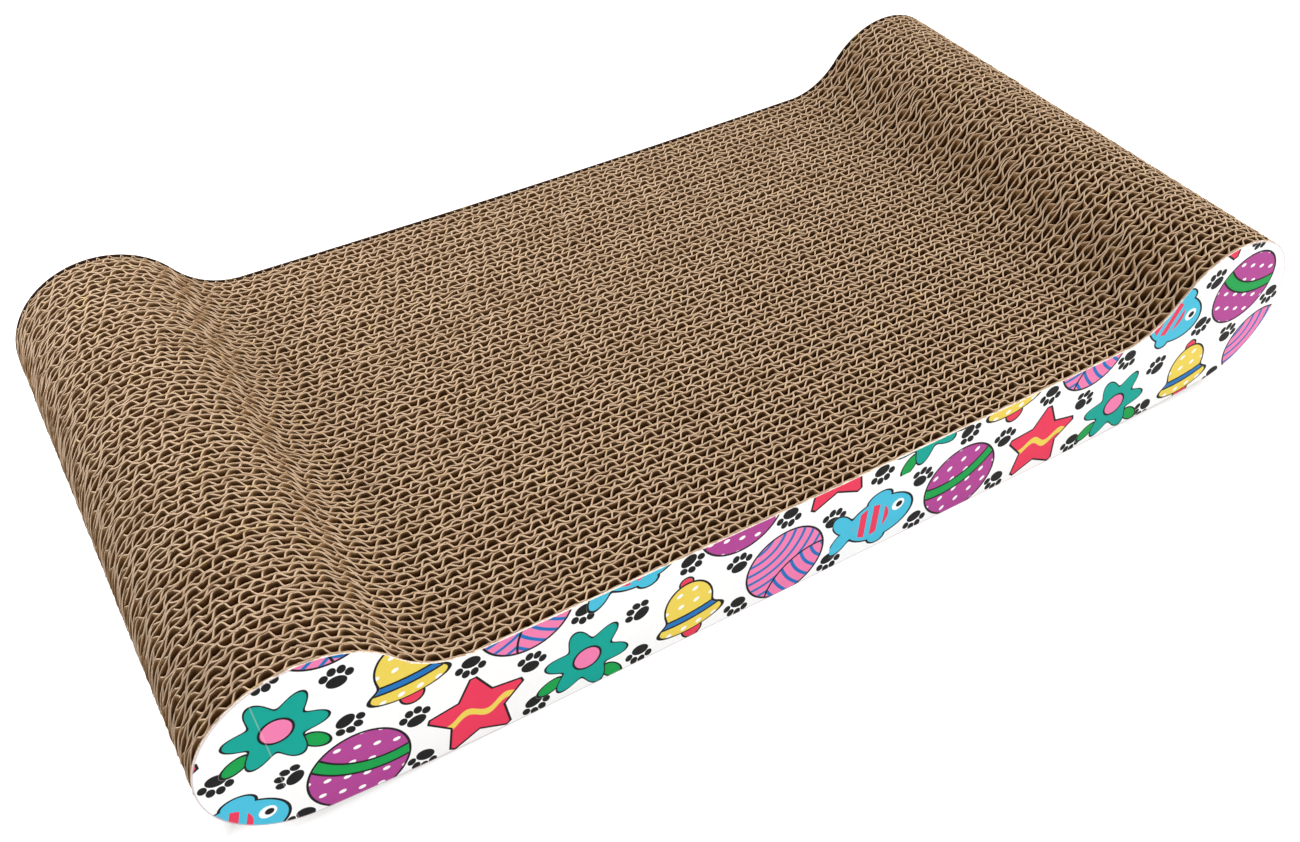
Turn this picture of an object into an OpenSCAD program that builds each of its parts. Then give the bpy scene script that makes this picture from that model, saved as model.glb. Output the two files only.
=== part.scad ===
// Lounge-shaped cat scratcher: corrugated boards stand on edge side by side, all cut to one
// outline with a round bolster at each end and a shallow dish between, and a printed cover
// closes each long side.
// Millimetres. X runs along the length, Y from the front cover to the back cover, Z up.
// The origin is the middle of the base.

/* [Whole block] */
// Length over both bolsters
block_len = 430; // [390:5:480]
// Height over the bolsters
block_h = 70; // [64:1:78]
// Thickness in the middle of the dish
dish_h = 41.2; // [36:0.2:46]
// Radius of the long shallow curve of the dish
dish_r = 6450; // [4000:50:8000]
// Radius of the hollow where the dish turns up into a bolster
hollow_r = 29.5; // [22:0.5:36]

/* [Underside] */
// Height of the lowest point of a bolster over the floor
heel_lift = 3.2; // [1.6:0.2:6]
// Length of the rise from the flat base to that point
heel_run = 78; // [50:1:100]

/* [Boards] */
// Number of two-layer boards glued side by side
board_count = 37; // [20:1:45]
// Height of a board's tall flutes
tall_flute_h = 2.93; // [2.4:0.01:4]
// Height of a board's short flutes
short_flute_h = 2.13; // [1.4:0.01:2.8]
// Thickness of one liner sheet
liner_t = 0.25; // [0.16:0.01:0.4]
// Height of the pressed flutes in the one-layer board at the back
closing_flute_h = 1.9; // [1.2:0.1:2.9]

/* [Covers] */
// Thickness of a printed cover with the paper it is pasted to
cover_t = 0.6; // [0.4:0.1:1.5]

/* [Hidden] */
// Raw kraft on the boards, white paper on the covers
board_colour = "#b89a70";
cover_colour = "#f4f2ee";

// How far a drawn curve may stand off its true arc
curve_chord = 0.01;

// A board is a layer of tall flutes and, behind it, a layer of short ones, each with a liner on
// its front. The liner of the next board closes its back, and the back cover closes the last.
board_t = tall_flute_h + liner_t + short_flute_h + liner_t;
closing_t = closing_flute_h + liner_t;
covers = 2;
block_w = board_count * board_t + closing_t + covers * cover_t;

// Places along Y, from the front to the back
front_y = -block_w / 2;
boards_y = front_y + cover_t;
closing_y = boards_y + board_count * board_t;
back_cover_y = closing_y + closing_t;

// A bolster is round: its circle touches the top, the end and the lifted underside.
bolster_r = (block_h - heel_lift) / 2;
bolster = [block_len / 2 - bolster_r, heel_lift + bolster_r];

// The underside leaves the floor in one wide arc, tangent to the floor and to the bolster.
heel_r = (heel_run * heel_run / heel_lift + bolster_r + bolster.y) / 2;
heel = [bolster.x - heel_run, heel_r];

// The dish's arc, and the hollow that is tangent to it and to the bolster
dish = [0, dish_h + dish_r];
hollow = meeting(bolster, bolster_r + hollow_r, dish, dish_r - hollow_r);
dish_touch = on_way(dish, hollow, dish_r);

// The slab between the bolsters: one side of its outline before the dish is cut from its top
slab_side = [[heel.x, 0], bolster, [bolster.x, bolster.y + bolster_r / 2]];

// How far below their arcs the pieces that round the underside and the hollow reach
root_depth = dish_h / 2;
hollow_root = on_way(hollow, dish_touch, hollow_r + root_depth);
heel_root = on_way(heel, bolster, heel_r + root_depth);

// A board's name, numbered from the front
function board_name(i) = str("board_", i < 10 ? "0" : "", i);

// The point at a given distance from a, on the way to b
function on_way(a, b, distance) = a + (b - a) * distance / norm(b - a);

// The point at ra from a and at rb from b, on the left of the way from a to b
function meeting(a, ra, b, rb) =
    let (
        gap = norm(b - a),
        along = (ra * ra - rb * rb + gap * gap) / (2 * gap),
        aside = sqrt(ra * ra - along * along),
        way = (b - a) / gap
    )
    a + along * way + aside * [-way.y, way.x];

// The same points on the other half of the block
function other_side(points) = [for (i = [len(points) - 1:-1:0]) [-points[i].x, points[i].y]];

// How many sides draw a circle of radius r within curve_chord
function sides(r) = ceil(PI * sqrt(r / (2 * curve_chord)));

module disc(centre, r) {
    translate(centre) circle(r = r, $fn = sides(r));
}

// The slab with the dish cut from its top
module slab() {
    difference() {
        polygon(concat(slab_side, other_side(slab_side)));
        disc(dish, dish_r);
    }
}

// The bolster on the +X end, with the underside that rises to it and the hollow on its inner side
module bolster_end() {
    disc(bolster, bolster_r);
    intersection() {
        disc(heel, heel_r);
        polygon([[heel.x, -root_depth], heel_root, bolster, [heel.x, bolster.y]]);
    }
    difference() {
        polygon([bolster, hollow, hollow_root]);
        disc(hollow, hollow_r);
    }
}

// The outline that every board and cover is cut to
module outline() {
    slab();
    bolster_end();
    mirror([1, 0]) bolster_end();
}

// A sheet of thickness t cut to the outline, with its front face at y
module sheet(y, t) {
    translate([0, y + t, 0]) rotate([90, 0, 0]) linear_extrude(height = t) outline();
}

// The printed cover that faces the front
module front_cover() {
    color(cover_colour) sheet(front_y, cover_t);
}

// One two-layer corrugated board, counted from the front
module board(i) {
    color(board_colour) sheet(boards_y + (i - 1) * board_t, board_t);
}

// The one-layer board behind the last two-layer one
module closing_board() {
    color(board_colour) sheet(closing_y, closing_t);
}

// The printed cover that faces the back
module back_cover() {
    color(cover_colour) sheet(back_cover_y, cover_t);
}

front_cover();
for (i = [1:board_count]) board(i);
closing_board();
back_cover();
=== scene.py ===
"""A cardboard cat scratcher: corrugated boards on edge, glued side by side, between two printed covers.

Each board is built as the maker glues it, from four sheets of paper: a liner, a tall fluted sheet,
a second liner and a short fluted sheet, all cut to one outline. Lengths are in millimetres until
they reach a mesh, which is in metres. X runs along the length, Y from the front cover to the back
cover, Z up.
"""

import math

import bpy
import numpy as np
from mathutils import Matrix, Vector


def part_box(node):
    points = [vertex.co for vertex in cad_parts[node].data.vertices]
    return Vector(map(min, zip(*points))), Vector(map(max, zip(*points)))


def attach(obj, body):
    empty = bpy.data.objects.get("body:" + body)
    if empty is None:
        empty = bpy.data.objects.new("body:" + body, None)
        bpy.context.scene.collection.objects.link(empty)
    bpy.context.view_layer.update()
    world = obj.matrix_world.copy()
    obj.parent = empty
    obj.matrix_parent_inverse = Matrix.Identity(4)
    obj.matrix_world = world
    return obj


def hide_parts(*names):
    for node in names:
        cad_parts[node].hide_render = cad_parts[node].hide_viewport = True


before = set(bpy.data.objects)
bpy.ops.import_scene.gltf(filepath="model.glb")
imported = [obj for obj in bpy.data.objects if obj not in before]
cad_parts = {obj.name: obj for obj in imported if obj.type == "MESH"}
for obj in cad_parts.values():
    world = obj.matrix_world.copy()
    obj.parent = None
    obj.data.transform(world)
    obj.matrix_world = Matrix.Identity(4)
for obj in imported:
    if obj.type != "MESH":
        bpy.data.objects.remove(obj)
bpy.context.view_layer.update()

MM = 0.001
UP = Vector((0, 0, 1))

# The camera
PICTURE_WIDTH = 1300
FOCAL_PIXELS = 1337.687
SENSOR_WIDTH = 36
CAMERA_AZIMUTH = math.radians(-31.3036)
CAMERA_ELEVATION = math.radians(43.2638)
CAMERA_ROLL = math.radians(0.1658)
CAMERA_DISTANCE = 530.88
CAMERA_RIGHT = -7.367
CAMERA_UP = -9.788
CLIP_NEAR = 10
CLIP_FAR = 50000


def place_camera():
    """The camera looks down on the front left corner, from the place that the photograph was taken."""
    flat = math.cos(CAMERA_ELEVATION)
    back = Vector(
        (
            math.sin(CAMERA_AZIMUTH) * flat,
            -math.cos(CAMERA_AZIMUTH) * flat,
            math.sin(CAMERA_ELEVATION),
        )
    )
    right = UP.cross(back).normalized()
    turn = Matrix.Rotation(CAMERA_ROLL, 3, back)
    right = turn @ right
    up = back.cross(right)
    place = (right * CAMERA_RIGHT + up * CAMERA_UP + back * CAMERA_DISTANCE) * MM
    camera = bpy.data.objects.new("camera", bpy.data.cameras.new("camera"))
    bpy.context.scene.collection.objects.link(camera)
    camera.matrix_world = Matrix.Translation(place) @ Matrix((right, up, back)).transposed().to_4x4()
    camera.data.sensor_fit = "HORIZONTAL"
    camera.data.sensor_width = SENSOR_WIDTH
    camera.data.lens = FOCAL_PIXELS * SENSOR_WIDTH / PICTURE_WIDTH
    camera.data.clip_start = CLIP_NEAR * MM
    camera.data.clip_end = CLIP_FAR * MM
    bpy.context.scene.camera = camera


place_camera()

# The outline that all the sheets are cut to: a dish between two round bolsters, on heels that rise.
# Its arcs have their radii and middles here, and the places where one goes over into the next.
HALF_LENGTH = 215
BOLSTER_R = 33.4
BOLSTER_X = 181.6
BOLSTER_Z = 36.6
HOLLOW_R = 29.5
HOLLOW_X = 129.613
HOLLOW_Z = 72.008
DISH_R = 6450
DISH_TOP = 41.2
HEEL_R = 985.625
HEEL_X = 103.6
DISH_END_X = 130.208
HOLLOW_END_X = 153.995
HEEL_END_X = 184.336

# The print: a grid with a motif in each cell, and paw prints over and under the gaps between them.
# A motif comes out larger than its own numbers say: a millimetre of the print holds DRAWN of them.
CELL = 38
ROW = 33
PRINT_LIFT = 1.5
PRINT_BLUR = 0.07
INK_LINE = 0.7
DRAWN = 0.86
MOTIF_TILT = 0.9
PAW_TILT = 1.6
PAW_FROM_ROW = 10.4
LAST_PAW_X = 200


class Level:
    """A number that varies over a surface. Arithmetic on it adds Math nodes to its tree."""

    def __init__(self, tree, socket):
        self.tree = tree
        self.socket = socket

    def work_out(self, operation, *values):
        """What a Math node makes of the values, in their order."""
        return self.tree.level("ShaderNodeMath", {"operation": operation}, dict(enumerate(values)))

    def __add__(self, other):
        return self.work_out("ADD", self, other)

    def __radd__(self, other):
        return self.work_out("ADD", other, self)

    def __sub__(self, other):
        return self.work_out("SUBTRACT", self, other)

    def __rsub__(self, other):
        return self.work_out("SUBTRACT", other, self)

    def __mul__(self, other):
        return self.work_out("MULTIPLY", self, other)

    def __rmul__(self, other):
        return self.work_out("MULTIPLY", other, self)

    def __truediv__(self, other):
        return self.work_out("DIVIDE", self, other)

    def __rtruediv__(self, other):
        return self.work_out("DIVIDE", other, self)

    def __neg__(self):
        return self.work_out("MULTIPLY", self, -1)

    def __abs__(self):
        return self.work_out("ABSOLUTE", self)

    def __mod__(self, other):
        return self.work_out("FLOORED_MODULO", self, other)

    def __pow__(self, other):
        return self.work_out("POWER", self, other)

    def __and__(self, other):
        """The higher of the two, which is the distance from what both shapes share."""
        return self.work_out("MAXIMUM", self, other)

    def __or__(self, other):
        """The lower of the two, which is the distance from both shapes together."""
        return self.work_out("MINIMUM", self, other)

    def floor(self):
        return self.work_out("FLOOR", self)

    def sine(self):
        return self.work_out("SINE", self)

    def cosine(self):
        return self.work_out("COSINE", self)

    def turn(self, across):
        """The angle round the middle of a point that is this far up and so far across."""
        return self.work_out("ARCTAN2", self, across)

    def over(self, other):
        """1 where this is above the other number, and 0 elsewhere."""
        return self.work_out("GREATER_THAN", self, other)

    def melt(self, other, reach):
        """The lower of the two, with the corner between them rounded."""
        return self.work_out("SMOOTH_MIN", self, other, reach)

    def near(self, other, tolerance):
        """1 where the two numbers agree within the tolerance."""
        return self.work_out("COMPARE", self, other, tolerance)

    def rise(self, low, high):
        """0 below low and 1 above high, with a soft step between."""
        return self.tree.level(
            "ShaderNodeMapRange",
            {"interpolation_type": "SMOOTHSTEP"},
            {"Value": self, "From Min": low, "From Max": high},
        )

    def inside(self):
        """1 inside the shape that this distance belongs to, with the print's soft edge."""
        return 1 - self.rise(-PRINT_BLUR, PRINT_BLUR)

    def stroke(self, width):
        """1 on a line of that width along the shape's edge."""
        return (abs(self) - width / 2).inside()


class Tree:
    """The nodes of a material or of the world, which are laid out afresh."""

    def __init__(self, owner):
        owner.use_nodes = True
        self.nodes = owner.node_tree.nodes
        self.links = owner.node_tree.links
        self.nodes.clear()

    def node(self, kind, settings=None, sockets=None):
        """Adds a node. Its settings are set first, then its sockets get their values or links."""
        node = self.nodes.new(kind)
        for name, value in (settings or {}).items():
            setattr(node, name, value)
        for name, value in (sockets or {}).items():
            if isinstance(value, Level):
                value = value.socket
            if isinstance(value, bpy.types.NodeSocket):
                self.links.new(value, node.inputs[name])
            else:
                node.inputs[name].default_value = value
        return node

    def level(self, kind, settings=None, sockets=None, output=0):
        """A number that a new node gives."""
        return Level(self, self.node(kind, settings, sockets).outputs[output])

    def parts(self, vector):
        """The three numbers of a vector socket."""
        split = self.node("ShaderNodeSeparateXYZ", None, {0: vector})
        return [Level(self, output) for output in split.outputs]

    def seen(self):
        """1 where the camera looks straight at a thing, or sees it in metal or through glass."""
        path = self.node("ShaderNodeLightPath").outputs
        rays = ("Is Camera Ray", "Is Glossy Ray", "Is Transmission Ray")
        straight, mirrored, through = (Level(self, path[ray]) for ray in rays)
        return straight & mirrored & through


class Finish(Tree):
    """A procedural material in the making."""

    def __init__(self, name):
        self.material = bpy.data.materials.new(name)
        super().__init__(self.material)

    def place(self):
        """The place on the object, in metres, as a vector socket."""
        return self.node("ShaderNodeTexCoord").outputs["Object"]

    def along_axes(self):
        """The place on the object in millimetres, as three numbers."""
        return [part / MM for part in self.parts(self.place())]

    def attribute(self, name):
        """A number that the mesh holds for each place on it."""
        return self.level("ShaderNodeAttribute", {"attribute_name": name}, output="Fac")

    def stretched(self, scale):
        """The place, stretched by a different amount along each axis."""
        mapping = self.node("ShaderNodeMapping", None, {"Vector": self.place(), "Scale": scale})
        return mapping.outputs[0]

    def noise(self, size, detail=2.0, vector=None, roughness=0.5):
        """Cloudy noise from 0 to 1 with spots of about the given size in millimetres."""
        return self.level(
            "ShaderNodeTexNoise",
            None,
            {
                "Vector": vector or self.place(),
                "Scale": 1 / (size * MM),
                "Detail": detail,
                "Roughness": roughness,
            },
        )

    def mix(self, share, a, b, blend="MIX"):
        """Colour a, going over to colour b as share goes from 0 to 1."""
        node = self.node(
            "ShaderNodeMix",
            {"data_type": "RGBA", "blend_type": blend},
            {0: share, 6: a, 7: b},
        )
        return node.outputs[2]

    def spot(self, u, v, w=0.0):
        """A point of the print, from its distances along and up, as a vector socket."""
        return self.node("ShaderNodeCombineXYZ", None, {0: u, 1: v, 2: w}).outputs[0]

    def drawn_for(self, spot):
        """A number from 0 to 1 that is drawn afresh for each point."""
        return self.level("ShaderNodeTexWhiteNoise", {"noise_dimensions": "3D"}, {"Vector": spot})

    def turned(self, spot, angle):
        """The point, turned about the middle of its cell."""
        node = self.node(
            "ShaderNodeVectorRotate", {"rotation_type": "Z_AXIS"}, {"Vector": spot, "Angle": angle}
        )
        return node.outputs[0]

    def oval(self, spot, x, y, half_width, half_height=None, turn=0):
        """Distance in millimetres from an oval's edge, below 0 inside it. The turn is in degrees."""
        half_height = half_height or half_width
        placed = self.node(
            "ShaderNodeMapping",
            {"vector_type": "TEXTURE"},
            {
                "Vector": spot,
                "Location": (x, y, 0),
                "Rotation": (0, 0, math.radians(turn)),
                "Scale": (half_width, half_height, 1),
            },
        )
        reach = self.level(
            "ShaderNodeVectorMath", {"operation": "LENGTH"}, {0: placed.outputs[0]}, output="Value"
        )
        return (reach - 1) * math.sqrt(half_width * half_height)

    def bump(self, height, depth, strength=1.0):
        """A normal from a height that goes from 0 to 1, with the depth in millimetres."""
        node = self.node(
            "ShaderNodeBump", None, {"Height": height, "Distance": depth * MM, "Strength": strength}
        )
        return node.outputs[0]

    def surface(self, **sockets):
        """The shader that the surface shows. A socket's name has _ for its spaces."""
        named = {name.replace("_", " "): value for name, value in sockets.items()}
        shader = self.node("ShaderNodeBsdfPrincipled", None, named)
        self.node("ShaderNodeOutputMaterial", None, {0: shader.outputs[0]})
        return self.material


def rgb(red, green, blue):
    """A screen colour of 0 to 255 as the colour that a shader takes."""
    parts = [value / 255 for value in (red, green, blue)]
    linear = [p / 12.92 if p <= 0.04045 else ((p + 0.055) / 1.055) ** 2.4 for p in parts]
    return (*linear, 1)


# The print's colours
WHITE = rgb(250, 250, 250)
INK = rgb(10, 10, 12)
SKY = rgb(72, 188, 218)
CRIMSON = rgb(230, 58, 90)
PURPLE = rgb(174, 68, 146)
YELLOW = rgb(234, 208, 88)
TEAL = rgb(6, 160, 146)
PINK = rgb(238, 126, 174)
GREEN = rgb(14, 156, 72)
BLUE = rgb(30, 112, 184)

# What the papers' colours go over to: in patches, as painted shade deeper in the flutes, and where a
# cover is creased, greyed along its rim and grained
REDDISH = rgb(112, 66, 62)
YELLOWISH = rgb(206, 182, 118)
SHADED = rgb(106, 72, 37)
PAINTED_DEEP_SHADE = rgb(46, 24, 5)
CREASED = rgb(255, 240, 240)
RIM_GREY = rgb(204, 188, 192)
GRAINED = rgb(214, 208, 200)

# Depths below the cut: how far the painted light strip reaches, where the painted shade begins, and from
# where to where it goes over to painted deep shade
PAINTED_LIGHT_REACH = 1.4
SHADE_DEPTH = 0.4
PAINTED_DEEP_SHADE_DEPTHS = (4, 11)


def kraft_wall(name, shaded_at, lit, light, dark, fibre):
    """The faces of a brown paper, with its fibres and a tint that drifts from cell to cell. Painted light
    makes a paler strip along the cut, and painted shade darkens the faces with depth below it. At the
    depth shaded_at they have gone over to the painted shade."""
    paper = Finish(name)
    along_paper = paper.stretched((1.0, 1.0, 0.3))
    fibres = paper.noise(size=1.4, detail=4, vector=along_paper, roughness=0.6)
    drift = paper.noise(size=9)
    patches = paper.noise(size=5, detail=1)
    tint = paper.mix(drift.rise(0.35, 0.7), light, dark)
    tint = paper.mix(patches.rise(0.6, 0.85) * 0.5, tint, REDDISH)
    colour = paper.mix(fibres.rise(0.35, 0.75), tint, fibre)
    depth = paper.attribute("half_height") - abs(paper.attribute("from_middle"))
    # Painted shade: the faces darken with depth below the cut, first to the shade and then to the deep
    # shade.
    colour = paper.mix(depth.rise(SHADE_DEPTH, shaded_at) * 0.9, colour, SHADED)
    colour = paper.mix(depth.rise(*PAINTED_DEEP_SHADE_DEPTHS) * 0.85, colour, PAINTED_DEEP_SHADE)
    # Painted light: a paler strip just below the cut.
    colour = paper.mix(depth.rise(-0.1, PAINTED_LIGHT_REACH) ** 0.7, lit, colour)
    return paper.surface(
        Base_Color=colour,
        Roughness=0.85,
        Normal=paper.bump(fibres, depth=0.05, strength=0.5),
        IOR=1.2,
    )


def kraft_edge(name, light, dark, frayed):
    """A little frayed brown paper in the colours given. It makes the pale cut edges of the papers, and
    also a cover's inward face and the back cover's edge, which are painted dark as shade.
    """
    edge = Finish(name)
    fray = edge.noise(size=0.9, detail=3)
    drift = edge.noise(size=14)
    patches = edge.noise(size=6, detail=1)
    base = edge.mix(drift.rise(0.35, 0.7), light, dark)
    base = edge.mix(patches.rise(0.62, 0.8) * 0.4, base, YELLOWISH)
    colour = edge.mix(fray.rise(0.45, 0.8), base, frayed)
    return edge.surface(
        Base_Color=colour,
        Roughness=0.95,
        Normal=edge.bump(fray, depth=0.08, strength=0.6),
        IOR=1.4,
    )


def cover_edge(name, pale, greyed):
    """The torn-looking white edge of a cover, greyed by the knife."""
    edge = Finish(name)
    fray = edge.noise(size=0.8, detail=3)
    return edge.surface(
        Base_Color=edge.mix(fray.rise(0.3, 0.7), pale, greyed),
        Roughness=0.9,
        Normal=edge.bump(fray, depth=0.08, strength=0.6),
        IOR=1.4,
    )


class Motif:
    """One flat drawing of the print: an inked outline round painted colours."""

    def __init__(self, paper, shape, fill):
        self.paper = paper
        self.whole = (shape - INK_LINE / 2).inside()
        self.painted = (shape + INK_LINE / 2).inside()
        self.colour = paper.mix(self.painted, INK, fill)

    def paint(self, where, colour):
        """Lays a colour over the others, up to the inked outline."""
        self.colour = self.paper.mix(where * self.painted, self.colour, colour)


def dots(paper, u, v, gap):
    """Rows of small dots."""
    across = u % gap - gap / 2
    up = v % gap - gap / 2
    return paper.oval(paper.spot(across, up), 0, 0, 1.02, 0.68, 20)


def fish(paper, spot, u, v):
    """A toy fish with barred sides."""
    tail = paper.oval(spot, -12.4, 3.4, 5.6, 3.0, 128) | paper.oval(spot, -12.4, -3.4, 5.6, 3.0, 52)
    fins = paper.oval(spot, 0.5, 8.2, 4.6, 3.2, 10) | paper.oval(spot, 1.5, -8.2, 3.4, 2.6, -15)
    shape = paper.oval(spot, 1.8, 0, 12.4, 8.6).melt(tail, 2.0) | fins
    bars = abs((u + 7) % 4.6 - 2.3) - 1.25
    belt = paper.oval(spot, -1.6, 0, 6.6, 6.2)
    drawing = Motif(paper, shape, SKY)
    drawing.paint((bars & belt).inside(), CRIMSON)
    drawing.paint(paper.oval(spot, 8.4, 2.2, 2.3).inside(), WHITE)
    drawing.paint(paper.oval(spot, 8.8, 2.2, 1.2).inside(), INK)
    return drawing


def toy_ball(paper, spot, u, v):
    """A spotted ball with a band round it."""
    band = abs(paper.oval(spot, 0, 24, 24)) - 2.0
    drawing = Motif(paper, paper.oval(spot, 0, 0, 13.6), PURPLE)
    drawing.paint(dots(paper, u, v, gap=5.4).inside(), WHITE)
    drawing.paint(band.inside(), GREEN)
    drawing.paint(band.stroke(INK_LINE), INK)
    return drawing


def star(paper, spot, u, v):
    """A plump star with a wavy ribbon across it."""
    fold = 2 * math.pi / 5
    lean = abs((v.turn(u) + math.pi / 10) % fold - fold / 2)
    away = (u * u + v * v) ** 0.5
    points = away * (1.089 - lean).cosine() - 7.2
    ribbon = abs(v + 1.6 * (u * 0.55).sine() + 0.5) - 1.3
    drawing = Motif(paper, points & (away - 14), CRIMSON)
    drawing.paint(ribbon.inside(), YELLOW)
    return drawing


def flower(paper, spot, u, v):
    """A six-petalled flower with two leaves."""
    away = (u * u + v * v) ** 0.5
    petals = away - 10.4 - 2.6 * (v.turn(u) * 6).cosine()
    leaves = paper.oval(spot, 9.8, -7.9, 4.2, 2.3, -38) | paper.oval(spot, -9.8, -7.9, 4.2, 2.3, 38)
    drawing = Motif(paper, petals | leaves, TEAL)
    drawing.paint((leaves & -petals).inside(), GREEN)
    drawing.paint(petals.stroke(INK_LINE), INK)
    middle = paper.oval(spot, 0, 0, 4.2)
    drawing.paint(middle.inside(), PINK)
    drawing.paint(middle.stroke(INK_LINE), INK)
    return drawing


def bell(paper, spot, u, v):
    """A spotted bell with a ribbon, a ring and a clapper."""
    dome = paper.oval(spot, 0, 2.0, 7.8, 9.2)
    skirt = paper.oval(spot, 0, -5.4, 10.8, 3.9)
    clapper = paper.oval(spot, 0, -9.6, 3.2)
    ring = paper.oval(spot, 0, 11.6, 2.2)
    body = dome.melt(skirt, 5)
    ribbon = abs(v + 3.4 - u * u * 0.012) - 1.3
    drawing = Motif(paper, body | clapper | ring, YELLOW)
    drawing.paint(dots(paper, u, v, gap=5.0).inside(), WHITE)
    drawing.paint((ribbon & body).inside(), BLUE)
    drawing.paint(ribbon.stroke(INK_LINE), INK)
    drawing.paint(((clapper | ring) & -body).inside(), CRIMSON)
    drawing.paint(body.stroke(INK_LINE), INK)
    return drawing


def yarn_ball(paper, spot, u, v):
    """A ball of yarn, wound two ways."""
    one_way = abs(paper.oval(spot, -16, 12, 6) % 3.6 - 1.8) - 0.55
    other_way = abs(paper.oval(spot, 18, 10, 6) % 3.6 - 1.8) - 0.55
    split = paper.oval(spot, 15, -12, 18)
    drawing = Motif(paper, paper.oval(spot, 0, 0, 13.4), PINK)
    drawing.paint((one_way & -split).inside(), BLUE)
    drawing.paint((other_way & split).inside(), BLUE)
    drawing.paint(split.stroke(INK_LINE), INK)
    return drawing


def paw_print(paper, spot):
    """A pad and four toes."""
    return (
        paper.oval(spot, 0, -1.4, 3.1, 2.4)
        | paper.oval(spot, -3.7, 1.2, 1.35, 1.6)
        | paper.oval(spot, 3.7, 1.2, 1.35, 1.6)
        | paper.oval(spot, -1.4, 3.2, 1.35, 1.7)
        | paper.oval(spot, 1.4, 3.2, 1.35, 1.7)
    )


def print_toys(paper, x, y, z):
    """The colour of the print at each place. The back cover has it the other way round."""
    across = x * (1 - 2 * y.over(0))
    row = ((z + PRINT_LIFT) / ROW).floor()
    up = z + PRINT_LIFT - (row + 0.5) * ROW
    shifted = across + (row % 2) * (CELL / 2)
    column = (shifted / CELL).floor()
    along = shifted - (column + 0.5) * CELL
    tilt = (paper.drawn_for(paper.spot(column, row, 3)) - 0.5) * MOTIF_TILT
    spot = paper.turned(paper.spot(along * DRAWN, up * DRAWN), tilt)
    u, v, _ = paper.parts(spot)
    kind = (column + row * 2) % 6

    colour = WHITE
    taken = 0
    for number, draw in enumerate((fish, toy_ball, star, flower, bell, yarn_ball)):
        drawing = draw(paper, spot, u, v)
        here = drawing.whole * kind.near(number, 0.5)
        colour = paper.mix(here, colour, drawing.colour)
        taken = taken + here

    gap_column = (shifted / CELL + 0.5).floor()
    aside = shifted - gap_column * CELL
    upper = up.over(0)
    past_last = abs(across - aside).over(LAST_PAW_X) * upper
    tilt = (paper.drawn_for(paper.spot(gap_column, row, upper)) - 0.5) * PAW_TILT
    paw = paw_print(paper, paper.turned(paper.spot(aside, abs(up) - PAW_FROM_ROW), tilt))
    return paper.mix(paw.inside() * (1 - taken) * (1 - past_last), colour, INK)


def from_outline(paper, x, z):
    """How far outside the outline's round tips and rising heels a place is, below 0 inside."""
    at_tip = abs(x).over(BOLSTER_X)
    past_tip = paper.oval(paper.spot(abs(x), z), BOLSTER_X, BOLSTER_Z, BOLSTER_R)
    heel = (abs(x) - HEEL_X) & 0
    below = heel * heel / (2 * HEEL_R) - z
    return past_tip * at_tip + below * (1 - at_tip)


def printed_paper(name, crease_x, crease_z, crease_lean):
    """White paper with a bright repeating print of toys, greyer along the outline, and a faint upright
    crease across the front cover."""
    paper = Finish(name)
    x, y, z = paper.along_axes()
    colour = print_toys(paper, x, y, z)
    from_crease = abs(x - crease_x + (z - crease_z) * crease_lean)
    crease = (1 - from_crease.rise(0.05, 0.3)) * 0.16 * (1 - y.over(0))
    colour = paper.mix(crease, colour, CREASED)
    # The print turns greyer along the outline.
    rim = from_outline(paper, x, z).rise(-0.6, -0.2) * 0.85
    colour = paper.mix(rim, colour, RIM_GREY)
    grain = paper.noise(size=0.7, detail=3)
    colour = paper.mix(grain * 0.05, colour, GRAINED, "MULTIPLY")
    return paper.surface(
        Base_Color=colour,
        Roughness=0.5,
        Normal=paper.bump(grain, depth=0.012, strength=0.5),
        Specular_IOR_Level=0.08,
    )


# The flute paper's painted shade sets in nearer the cut than the liner paper's; lit is each paper's
# painted light strip.
LINER_WALL = kraft_wall(
    "liner_paper",
    shaded_at=5,
    lit=rgb(170, 141, 109),
    light=rgb(128, 89, 47),
    dark=rgb(114, 78, 41),
    fibre=rgb(140, 101, 58),
)
FLUTE_WALL = kraft_wall(
    "flute_paper",
    shaded_at=3.4,
    lit=rgb(164, 136, 103),
    light=rgb(122, 90, 55),
    dark=rgb(110, 80, 48),
    fibre=rgb(134, 100, 63),
)
LINER_EDGE = kraft_edge("liner_cut_edge", rgb(177, 152, 126), rgb(167, 142, 117), rgb(147, 121, 95))
FLUTE_EDGE = kraft_edge("flute_cut_edge", rgb(194, 169, 143), rgb(182, 157, 132), rgb(163, 138, 112))
# The covers' inward faces: brown paper, painted dark as shade.
COVER_BACK_PAINTED_SHADE = kraft_edge("cover_back_painted_shade", rgb(64, 42, 24), rgb(54, 36, 20), rgb(76, 52, 32))
COVER_EDGE = cover_edge("cover_cut_edge", rgb(238, 230, 224), rgb(206, 192, 180))
# The back cover's cut edge, painted dark as the shade in the gap behind the last flutes; the front
# cover's edge stays pale.
BACK_EDGE_PAINTED_SHADE = kraft_edge("back_cover_edge_painted_shade", rgb(52, 32, 20), rgb(44, 26, 16), rgb(66, 44, 28))
PRINTED_PAPER = printed_paper("printed_paper", crease_x=-193.5, crease_z=44, crease_lean=0.05)


def top_of(x):
    """Height of the upper outline at each place along the length."""
    x = np.abs(x)
    dish = DISH_TOP + DISH_R - np.sqrt(DISH_R**2 - x**2)
    hollow = HOLLOW_Z - np.sqrt(np.maximum(HOLLOW_R**2 - (x - HOLLOW_X) ** 2, 0))
    bolster = BOLSTER_Z + np.sqrt(np.maximum(BOLSTER_R**2 - (x - BOLSTER_X) ** 2, 0))
    return np.where(x < DISH_END_X, dish, np.where(x < HOLLOW_END_X, hollow, bolster))


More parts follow.
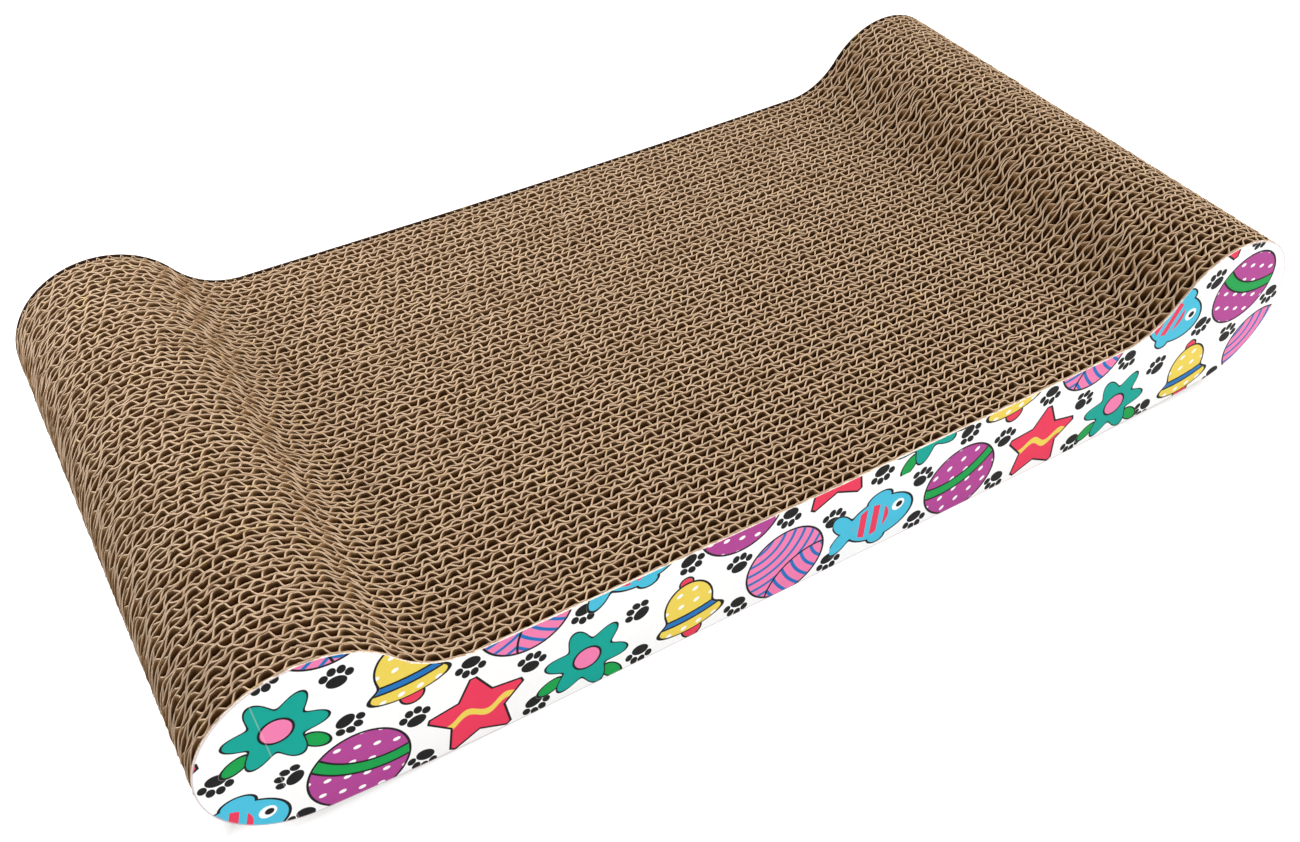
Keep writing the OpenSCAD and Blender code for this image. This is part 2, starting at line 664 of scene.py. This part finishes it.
def bottom_of(x):
    """Height of the lower outline at each place along the length."""
    x = np.abs(x)
    heel = HEEL_R - np.sqrt(HEEL_R**2 - np.maximum(x - HEEL_X, 0) ** 2)
    bolster = BOLSTER_Z - np.sqrt(np.maximum(BOLSTER_R**2 - (x - BOLSTER_X) ** 2, 0))
    return np.where(x < HEEL_END_X, heel, bolster)


# Where a sheet has its columns on the round ends, and how far from them its even ones stop
END_TURNS = np.radians(np.arange(2, 60, 2.4))
END_GAP = 0.1


def with_round_ends(x):
    """The places with those near the ends exchanged for even turns of the bolsters."""
    ends = BOLSTER_X + BOLSTER_R * np.cos(END_TURNS)
    kept = x[np.abs(x) < ends.min() - END_GAP]
    return np.sort(np.concatenate([-ends, kept, ends]))


def steps_along(step):
    """Places along the length at about the given step, closer together where the ends turn down."""
    count = round(2 * HALF_LENGTH / step) + 1
    return with_round_ends(np.linspace(-HALF_LENGTH, HALF_LENGTH, count)[1:-1])


# The boards: each a layer of tall flutes and behind it a layer of short ones, with a liner on the
# front of each layer
LINER_T = 0.25
TALL_H = 2.93
SHORT_H = 2.13
TALL_PITCH = 7.46
SHORT_PITCH = 6.2
BOARD_T = TALL_H + LINER_T + SHORT_H + LINER_T
BOARDS = 37
BOARDS_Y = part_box("board_01")[0].y / MM
BACK_COVER_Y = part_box("back_cover")[0].y / MM
GLUE_LINES = 2 * BOARDS + 2

# How thick the papers look where their cut edges are frayed
LINER_PAPER_T = 0.56
TALL_PAPER_T = 0.44
SHORT_PAPER_T = 0.52
PRESSED_PAPER_T = 0.22

# How far round its pitch a flute has its crest, and how far it pulls its glue lines
TALL_CREST = 0.42
SHORT_CREST = 0.37
TALL_PULL = 0.22
SHORT_PULL = 0.1

# How much of its stray a glue line hands on to the next, and how many lines in they are all free
HANDED_ON = 0.86
FREE_FROM = 4

chance = np.random.default_rng(seed=37)


def soft_noise(x, spacing, size):
    """A smooth random line through a new value at each spacing, with values up to about size."""
    knots = np.arange(x.min() - spacing, x.max() + 2 * spacing, spacing)
    values = chance.normal(0, size / 2, len(knots))
    at = (x - knots[0]) / spacing
    i = at.astype(int)
    t = at - i
    t = t * t * (3 - 2 * t)
    return values[i] * (1 - t) + values[i + 1] * t


# Places along the length at which the strays and the counts of flutes are worked out
STRAY_X = np.linspace(-HALF_LENGTH, HALF_LENGTH, 216)
COUNT_X = np.linspace(-HALF_LENGTH, HALF_LENGTH, 4301)


def count_flutes(pitch, shift, unevenness):
    """How many flutes lie before each place along the length, for every board. The boards are
    strips of one sheet, so the flutes shift by much the same from strip to strip."""
    shifts = np.cumsum(chance.normal(shift, unevenness, BOARDS + 1))
    even = COUNT_X / pitch
    return [
        even
        - shifted
        + soft_noise(COUNT_X, spacing=pitch, size=0.06)
        + soft_noise(COUNT_X, spacing=60, size=0.09)
        for shifted in shifts
    ]


def freedom():
    """How free each glue line is to stray: not at all beside the flat covers, and wholly further in."""
    number = np.arange(GLUE_LINES)
    return np.clip(np.minimum(number, number[::-1]) / FREE_FROM, 0, 1)


def stray_lines():
    """How far each glue line strays from its place. It follows the one before for the most part."""
    lines = [np.zeros_like(STRAY_X)]
    for _ in range(1, GLUE_LINES):
        stray = soft_noise(STRAY_X, spacing=30, size=0.13) + soft_noise(STRAY_X, spacing=8, size=0.11)
        lines.append(HANDED_ON * lines[-1] + stray)
    return [line * free for line, free in zip(lines, FREEDOM)]


TALL_TURNS = count_flutes(TALL_PITCH, shift=0.32, unevenness=0.08)
SHORT_TURNS = count_flutes(SHORT_PITCH, shift=0.15, unevenness=0.14)
FREEDOM = freedom()
STRAYS = stray_lines()


def pull(i, x):
    """How far the flutes on both sides of glue line i pull it out of line with them."""
    tall = np.interp(x, COUNT_X, TALL_TURNS[i // 2]) - TALL_CREST
    short = np.interp(x, COUNT_X, SHORT_TURNS[max(i - 1, 0) // 2]) - SHORT_CREST
    both = TALL_PULL * np.cos(2 * np.pi * tall) + SHORT_PULL * np.cos(2 * np.pi * short)
    return FREEDOM[i] * both


def glue_line(i, x):
    """Y of glue line i along the length. Line 0 is the front cover's back face."""
    board, half = divmod(i, 2)
    if i == GLUE_LINES - 1:
        y = BACK_COVER_Y
    else:
        y = BOARDS_Y + board * BOARD_T + half * (TALL_H + LINER_T)
    return y + np.interp(x, STRAY_X, STRAYS[i]) + pull(i, x)


def deselect():
    bpy.ops.object.select_all(action="DESELECT")


def stand_sheet(name, x, y, bottom, top):
    """A sheet on edge, bent to the line x, y. Also gives the column and the half of each vertex."""
    deselect()
    count = len(x) - 1
    bpy.ops.mesh.primitive_grid_add(x_subdivisions=count, y_subdivisions=1, size=1)
    sheet = bpy.context.object
    sheet.name = name
    places = np.empty(len(sheet.data.vertices) * 3)
    sheet.data.vertices.foreach_get("co", places)
    places = places.reshape(-1, 3)
    column = np.rint((places[:, 0] + 0.5) * count).astype(int)
    is_top = places[:, 1] > 0
    places[:, 0] = x[column]
    places[:, 1] = y[column]
    places[:, 2] = np.where(is_top, top[column], bottom[column])
    sheet.data.vertices.foreach_set("co", (places * MM).ravel())
    sheet.data.update()
    return sheet, column, is_top


def thicken(sheet, thickness, *finishes):
    """Gives the sheet its finishes and a thickness, half to each side. Its rim takes the second."""
    for finish in finishes:
        sheet.data.materials.append(finish)
    wall = sheet.modifiers.new("wall", "SOLIDIFY")
    wall.thickness = thickness * MM
    wall.offset = 0
    wall.material_offset_rim = 1
    bpy.ops.object.modifier_apply(modifier=wall.name)


# How far a sheet's foot is clear of the ground, and half its height where the outline ends in a point
FOOT_LIFT = 0.02
LEAST_HALF = 0.1


def cut_paper(name, x, y, thickness, wall_finish, edge_finish):
    """A sheet of paper on edge, bent to the line x, y and cut to the outline with frayed edges. It
    holds its half height and each place's height over the middle, from which its depth is told."""
    x = x + np.where(np.abs(x) > BOLSTER_X, soft_noise(x, spacing=1.2, size=0.36), 0)
    x = np.clip(x, -HALF_LENGTH, HALF_LENGTH)
    top = top_of(x) + soft_noise(x, spacing=0.8, size=0.26) + soft_noise(x, spacing=40, size=0.2)
    bottom = bottom_of(x) + FOOT_LIFT + np.abs(soft_noise(x, spacing=1.3, size=0.16))
    middle = (top_of(x) + bottom_of(x)) / 2
    top = np.maximum(top, middle + LEAST_HALF)
    bottom = np.minimum(bottom, middle - LEAST_HALF)
    sheet, column, is_top = stand_sheet(name, x, y, bottom, top)
    half = (top - bottom)[column] / 2
    heights = {"half_height": half, "from_middle": np.where(is_top, half, -half)}
    for label, values in heights.items():
        attribute = sheet.data.attributes.new(label, "FLOAT", "POINT")
        attribute.data.foreach_set("value", values.astype(np.float32))
    thicken(sheet, thickness, wall_finish, edge_finish)
    return sheet


# One flute of each sheet, as places along the pitch and heights from -1 at the near liner to 1 at
# the far one
TALL_FLUTE = (
    (0.0, -1.0),
    (0.03, -0.8),
    (0.09, -0.28),
    (0.15, 0.26),
    (0.21, 0.68),
    (0.27, 0.89),
    (0.34, 0.99),
    (0.45, 1.0),
    (0.55, 0.95),
    (0.61, 0.76),
    (0.655, 0.34),
    (0.7, -0.28),
    (0.74, -0.73),
    (0.78, -0.95),
    (0.83, -1.0),
)
SHORT_FLUTE = (
    (0.0, -1.0),
    (0.08, -0.4),
    (0.16, 0.34),
    (0.23, 0.84),
    (0.31, 1.0),
    (0.42, 0.98),
    (0.51, 0.76),
    (0.61, 0.1),
    (0.72, -0.62),
    (0.8, -0.93),
    (0.86, -1.0),
)
PRESSED_FOLD = (
    (0.0, -1.0),
    (0.06, -0.9),
    (0.09, -0.2),
    (0.12, 0.8),
    (0.14, 1.0),
    (0.16, 0.8),
    (0.19, -0.2),
    (0.22, -0.9),
    (0.28, -1.0),
)
PRESSED_FLUTE = [(half + place, height) for half in (0, 0.5) for place, height in PRESSED_FOLD]


# How a flute falls short of the room between its liners. The lean fades to nothing over LEAN_FADE,
# and is gone at LEAN_REACH times that distance from the middle of the length.
CREST_GAP = 0.05
CRUSH = 0.4
LEAST_HEIGHT = 0.4
LEAN_FADE = 65
LEAN_REACH = 2.5


def fluted_paper(name, first, pitch, turns, flute, thickness, lean=0.0):
    """A fluted sheet between glue line first and the next. Some flutes are crushed or slanted, and
    in the middle of the length all of them lean by the given amount."""
    places = np.array([place for place, height in flute])
    heights = np.array([height for place, height in flute])
    whole = np.arange(math.floor(turns[0]), math.ceil(turns[-1]))
    wanted = (whole[:, None] + places).ravel()
    wanted = wanted[(wanted > turns[0]) & (wanted < turns[-1])]
    x = with_round_ends(np.interp(wanted, turns, COUNT_X))
    wave = np.interp(np.interp(x, COUNT_X, turns) % 1, places, heights, right=-1)
    near = glue_line(first, x)
    far = glue_line(first + 1, x)
    room = (far - near - LINER_T) / 2
    crushed = CRUSH * soft_noise(x, spacing=pitch, size=1.0) ** 6
    uneven = np.abs(soft_noise(x, spacing=9, size=0.18))
    height = (room - CREST_GAP) * np.clip(1 - uneven - crushed, LEAST_HEIGHT, 1)
    slant = soft_noise(x, spacing=pitch * 0.7, size=0.36)
    slant = slant + lean * np.clip(LEAN_REACH - np.abs(x) / LEAN_FADE, 0, 1)
    x = x + np.where(np.abs(x) < BOLSTER_X, slant * wave, 0)
    y = near + LINER_T + room + height * wave
    return cut_paper(name, x, y, thickness, FLUTE_WALL, FLUTE_EDGE)


def liner(name, i):
    """A flat sheet behind glue line i, a little wavy as its edge is frayed."""
    x = steps_along(step=0.8)
    y = glue_line(i, x) + LINER_T / 2
    y = y + soft_noise(x, spacing=0.8, size=0.08) + soft_noise(x, spacing=3, size=0.2)
    return cut_paper(name, x, y, LINER_PAPER_T, LINER_WALL, LINER_EDGE)


# Faces that meet at less than this angle are shaded as one
SMOOTH_ANGLE = math.radians(50)


def glue(name, sheets, node):
    """Joins the sheets into one piece that stands for the CAD node."""
    deselect()
    for sheet in sheets:
        sheet.select_set(True)
    bpy.context.view_layer.objects.active = sheets[0]
    bpy.ops.object.join()
    piece = bpy.context.object
    piece.name = name
    piece.data.name = name
    bpy.ops.object.shade_smooth_by_angle(angle=SMOOTH_ANGLE)
    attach(piece, "root")
    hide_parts(node)


def make_board(number):
    """A two-layer corrugated board."""
    first = 2 * (number - 1)
    tall = TALL_TURNS[number - 1]
    short = SHORT_TURNS[number - 1]
    name = f"board_{number:02d}"
    sheets = [
        liner("front_liner", first),
        fluted_paper("tall_flutes", first, TALL_PITCH, tall, TALL_FLUTE, TALL_PAPER_T, lean=0.35),
        liner("middle_liner", first + 1),
        fluted_paper("short_flutes", first + 1, SHORT_PITCH, short, SHORT_FLUTE, SHORT_PAPER_T),
    ]
    glue("papers_" + name, sheets, name)


def make_closing_board():
    """The single layer of pressed flutes in front of the back cover."""
    first = 2 * BOARDS
    last = TALL_TURNS[-1]
    sheets = [
        liner("last_liner", first),
        fluted_paper("pressed_flutes", first, TALL_PITCH, last, PRESSED_FLUTE, PRESSED_PAPER_T),
    ]
    glue("papers_closing_board", sheets, "closing_board")


for number in range(1, BOARDS + 1):
    make_board(number)
make_closing_board()


def make_cover(name, outward, edge_finish):
    """A printed cover, cut to the outline. Its print is on the outward side, -1 for the front."""
    low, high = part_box(name)
    x = steps_along(step=2.0)
    y = np.full_like(x, (low.y + high.y) / 2 / MM)
    cover, _, _ = stand_sheet("printed_" + name, x, y, bottom_of(x), top_of(x))
    thicken(cover, (high.y - low.y) / MM, PRINTED_PAPER, edge_finish, COVER_BACK_PAINTED_SHADE)
    painted_shade_back = cover.data.materials.find(COVER_BACK_PAINTED_SHADE.name)
    for face in cover.data.polygons:
        # The inward faces take the brown back, painted dark as shade.
        looks_inward = face.normal.y * outward < -0.5
        if looks_inward:
            face.material_index = painted_shade_back
    bpy.ops.object.shade_smooth_by_angle(angle=SMOOTH_ANGLE)
    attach(cover, "root")
    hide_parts(name)


make_cover("front_cover", -1, COVER_EDGE)
# The back cover takes the edge painted dark as shade.
make_cover("back_cover", 1, BACK_EDGE_PAINTED_SHADE)

# The studio. The floor's grey catches the shadow, and its glow lifts what is seen of it to white.
FLOOR_SIZE = 12000
FLOOR_GREY = (0.6, 0.6, 0.6, 1)
FLOOR_GLOW = 0.66
GLOW_FROM_Y = 100
GLOW_FADE = 12
WORLD_LIGHT = 0.52
LAMP_AIM = Vector((0, 0, 0.04))
PLAIN_WHITE = (1, 1, 1, 1)
PLAIN_BLACK = (0, 0, 0, 1)


def make_floor():
    """A plain floor. It doesn't glow under the block, where it would shine up through the flutes."""
    deselect()
    bpy.ops.mesh.primitive_plane_add(size=FLOOR_SIZE * MM, location=(0, 0, 0))
    floor = bpy.context.object
    floor.name = "floor"
    finish = Finish("pale_floor")
    x, y, _ = finish.along_axes()
    in_open = ((abs(x) - HALF_LENGTH) & (abs(y) - GLOW_FROM_Y)).rise(-GLOW_FADE, 0)
    floor.data.materials.append(
        finish.surface(
            Base_Color=FLOOR_GREY,
            Roughness=0.9,
            Emission_Color=finish.mix(finish.seen() * in_open, PLAIN_BLACK, PLAIN_WHITE),
            Emission_Strength=FLOOR_GLOW,
        )
    )


def light_world():
    """An even pale light from all round, which is seen as plain white."""
    world = bpy.data.worlds.new("studio")
    bpy.context.scene.world = world
    sky = Tree(world)
    light = sky.node("ShaderNodeBackground", None, {"Color": PLAIN_WHITE, "Strength": WORLD_LIGHT})
    shown = sky.node("ShaderNodeBackground", None, {"Color": PLAIN_WHITE, "Strength": 1})
    mix = sky.node("ShaderNodeMixShader", None, {0: sky.seen(), 1: light.outputs[0], 2: shown.outputs[0]})
    sky.node("ShaderNodeOutputWorld", None, {0: mix.outputs[0]})


def add_lamp(name, place, width, height, power, colour):
    """A soft lamp that points at the middle of the block. Its place and size are in metres."""
    lamp = bpy.data.lights.new(name, "AREA")
    lamp.color = colour
    lamp.shape = "RECTANGLE"
    lamp.size = width
    lamp.size_y = height
    lamp.energy = power
    holder = bpy.data.objects.new(name, lamp)
    holder.location = place
    holder.rotation_euler = (Vector(place) - LAMP_AIM).to_track_quat("Z", "Y").to_euler()
    bpy.context.scene.collection.objects.link(holder)


make_floor()
light_world()
add_lamp("overhead_softbox", (1.35, 0.22, 1.4), 1.5, 1.5, power=42.6, colour=(1, 0.94, 0.85))
add_lamp("front_softbox", (0.15, -1.6, 0.1), 1.6, 0.18, power=11.4, colour=(0.98, 0.995, 1))
add_lamp("left_softbox", (-0.5, 0.42, 0.33), 0.3, 0.3, power=4.3, colour=(1, 1, 1))

bpy.context.scene.view_settings.view_transform = "Standard"
